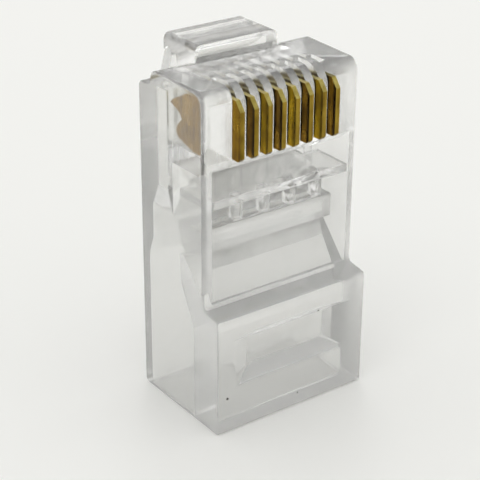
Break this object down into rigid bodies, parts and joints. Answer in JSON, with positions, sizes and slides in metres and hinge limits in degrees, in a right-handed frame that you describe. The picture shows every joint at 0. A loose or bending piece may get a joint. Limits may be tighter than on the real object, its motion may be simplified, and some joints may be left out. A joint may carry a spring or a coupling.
{
  "type": "modular plug",
  "caption": "Clear modular plug: blade contacts in a comb of slots, clamp bars in a window over the cable cavity, and a sprung locking latch.",
  "frame": {"origin": "middle of the cable-end face of the body", "axes": "+X across the plug, +Y from the contact side to the latch side, +Z from the cable end to the nose"},
  "size_m": [0.0116, 0.0135, 0.0234],
  "materials": {
    "clear_plastic": "clear moulded polycarbonate, gloss",
    "gold_plate": "thin gold plate on stamped phosphor bronze"
  },
  "bodies": {
    "housing": {"housing": "clear_plastic"},
    "latch": {"latch": "clear_plastic"},
    "cable_clamp": {"cable_clamp": "clear_plastic"},
    "wire_clamp": {"wire_clamp": "clear_plastic"},
    "contact_1": {"contact_1": "gold_plate"},
    "contact_2": {"contact_2": "gold_plate"},
    "contact_3": {"contact_3": "gold_plate"},
    "contact_4": {"contact_4": "gold_plate"},
    "contact_5": {"contact_5": "gold_plate"},
    "contact_6": {"contact_6": "gold_plate"},
    "contact_7": {"contact_7": "gold_plate"},
    "contact_8": {"contact_8": "gold_plate"}
  },
  "joints": [
    {"name": "latch_press", "type": "hinge", "parent": "housing", "child": "latch", "pos_m": [0, 0.00498, 0.02215], "axis": [-1, 0, 0], "range_deg": [0, 15], "stiffness_Nm_per_rad": 0.25},
    {"name": "crimp_stroke", "type": "slide", "parent": "housing", "child": "contact_1", "axis": [0, 1, 0], "range_m": [0, 0.00075]},
    {"name": "crimp_contact_2", "type": "slide", "parent": "housing", "child": "contact_2", "axis": [0, 1, 0], "range_m": [0, 0.00075]},
    {"name": "crimp_contact_3", "type": "slide", "parent": "housing", "child": "contact_3", "axis": [0, 1, 0], "range_m": [0, 0.00075]},
    {"name": "crimp_contact_4", "type": "slide", "parent": "housing", "child": "contact_4", "axis": [0, 1, 0], "range_m": [0, 0.00075]},
    {"name": "crimp_contact_5", "type": "slide", "parent": "housing", "child": "contact_5", "axis": [0, 1, 0], "range_m": [0, 0.00075]},
    {"name": "crimp_contact_6", "type": "slide", "parent": "housing", "child": "contact_6", "axis": [0, 1, 0], "range_m": [0, 0.00075]},
    {"name": "crimp_contact_7", "type": "slide", "parent": "housing", "child": "contact_7", "axis": [0, 1, 0], "range_m": [0, 0.00075]},
    {"name": "crimp_contact_8", "type": "slide", "parent": "housing", "child": "contact_8", "axis": [0, 1, 0], "range_m": [0, 0.00075]},
    {"name": "wire_clamp_push", "type": "slide", "parent": "housing", "child": "wire_clamp", "axis": [0, 1, 0], "range_m": [0, 0.0006]},
    {"name": "cable_clamp_turn", "type": "hinge", "parent": "housing", "child": "cable_clamp", "pos_m": [0, -0.00005, 0.01102], "axis": [-1, 0, 0], "range_deg": [0, 25]}
  ],
  "couplings": [
    {"joint": "crimp_contact_2", "follows": "crimp_stroke", "ratio": 1},
    {"joint": "crimp_contact_3", "follows": "crimp_stroke", "ratio": 1},
    {"joint": "crimp_contact_4", "follows": "crimp_stroke", "ratio": 1},
    {"joint": "crimp_contact_5", "follows": "crimp_stroke", "ratio": 1},
    {"joint": "crimp_contact_6", "follows": "crimp_stroke", "ratio": 1},
    {"joint": "crimp_contact_7", "follows": "crimp_stroke", "ratio": 1},
    {"joint": "crimp_contact_8", "follows": "crimp_stroke", "ratio": 1},
    {"joint": "wire_clamp_push", "follows": "crimp_stroke", "ratio": 0.8},
    {"joint": "cable_clamp_turn", "follows": "crimp_stroke", "rad_per_m": 581.8}
  ]
}
